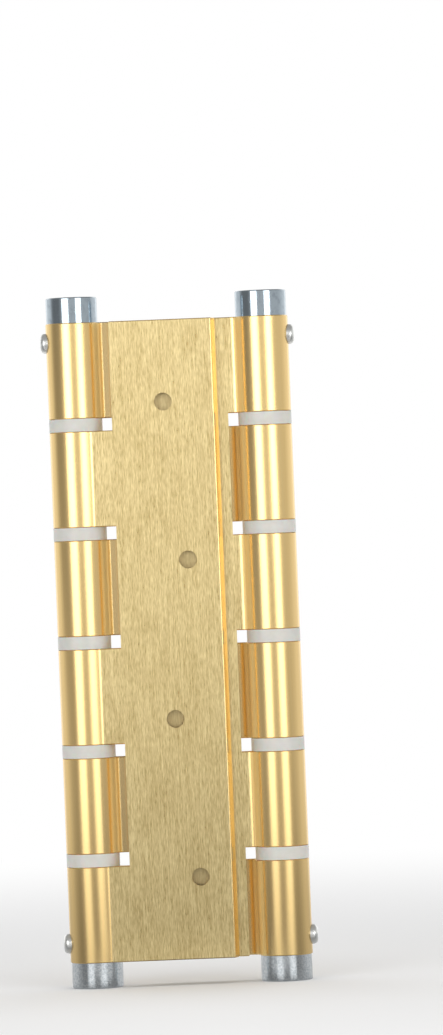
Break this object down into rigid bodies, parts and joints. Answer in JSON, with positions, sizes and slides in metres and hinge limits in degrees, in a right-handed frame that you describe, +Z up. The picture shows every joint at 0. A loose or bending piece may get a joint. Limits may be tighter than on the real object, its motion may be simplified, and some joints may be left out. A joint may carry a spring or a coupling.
{
  "type": "double action spring hinge",
  "caption": "Double action spring hinge: three aluminium leaves on two sprung barrels, so a swing door opens both ways and closes by itself.",
  "frame": {"origin": "middle of the closed hinge, half-way between the two barrel axes and at half height", "axes": "+Z up along both barrel axes, +X from the door barrel to the frame barrel, +Y out of the frame leaf's mounting face, so the door leaf's face looks along -Y"},
  "size_m": [0.0716, 0.015, 0.1944],
  "materials": {
    "gold_anodised_aluminium": "gold anodised, plates brushed along the height, barrels bright",
    "white_nylon": "white, slightly translucent",
    "bright_plated_steel": "bright blue-white plating, turned",
    "zinc_plated_steel": "zinc plated",
    "spring_steel": "oiled spring steel"
  },
  "bodies": {
    "frame_leaf": {"frame_leaf": "gold_anodised_aluminium", "frame_barrel_bottom_lock_screw": "zinc_plated_steel"},
    "centre_leaf": {"centre_leaf": "gold_anodised_aluminium", "door_barrel_bush_1": "white_nylon", "door_barrel_bush_2": "white_nylon", "door_barrel_bush_3": "white_nylon", "door_barrel_bush_4": "white_nylon", "door_barrel_bush_5": "white_nylon", "frame_barrel_bush_1": "white_nylon", "frame_barrel_bush_2": "white_nylon", "frame_barrel_bush_3": "white_nylon", "frame_barrel_bush_4": "white_nylon", "frame_barrel_bush_5": "white_nylon", "door_barrel_spring": "spring_steel", "frame_barrel_spring": "spring_steel", "door_barrel_top_lock_screw": "zinc_plated_steel", "frame_barrel_top_lock_screw": "zinc_plated_steel"},
    "door_leaf": {"door_leaf": "gold_anodised_aluminium", "door_barrel_bottom_lock_screw": "zinc_plated_steel"},
    "door_barrel_top_plug": {"door_barrel_top_plug": "bright_plated_steel"},
    "door_barrel_bottom_plug": {"door_barrel_bottom_plug": "bright_plated_steel"},
    "frame_barrel_top_plug": {"frame_barrel_top_plug": "bright_plated_steel"},
    "frame_barrel_bottom_plug": {"frame_barrel_bottom_plug": "bright_plated_steel"}
  },
  "joints": [
    {"name": "frame_barrel_swing", "type": "hinge", "parent": "frame_leaf", "child": "centre_leaf", "pos_m": [0.02665, 0, 0], "axis": [0, 0, 1], "range_deg": [0, 180], "stiffness_Nm_per_rad": 0.6, "springref_deg": -28.65, "deforming": ["frame_barrel_spring"]},
    {"name": "door_barrel_swing", "type": "hinge", "parent": "centre_leaf", "child": "door_leaf", "pos_m": [-0.02665, 0, 0], "axis": [0, 0, -1], "range_deg": [0, 180], "stiffness_Nm_per_rad": 0.6, "springref_deg": -28.65, "deforming": ["door_barrel_spring"]},
    {"name": "frame_barrel_top_winding", "type": "hinge", "parent": "centre_leaf", "child": "frame_barrel_top_plug", "pos_m": [0.02665, 0, 0], "axis": [0, 0, 1], "range_deg": [0, 360], "deforming": ["frame_barrel_spring"]},
    {"name": "frame_barrel_bottom_winding", "type": "hinge", "parent": "frame_leaf", "child": "frame_barrel_bottom_plug", "pos_m": [0.02665, 0, 0], "axis": [0, 0, -1], "range_deg": [0, 360], "deforming": ["frame_barrel_spring"]},
    {"name": "door_barrel_top_winding", "type": "hinge", "parent": "centre_leaf", "child": "door_barrel_top_plug", "pos_m": [-0.02665, 0, 0], "axis": [0, 0, 1], "range_deg": [0, 360], "deforming": ["door_barrel_spring"]},
    {"name": "door_barrel_bottom_winding", "type": "hinge", "parent": "door_leaf", "child": "door_barrel_bottom_plug", "pos_m": [-0.02665, 0, 0], "axis": [0, 0, -1], "range_deg": [0, 360], "deforming": ["door_barrel_spring"]}
  ]
}
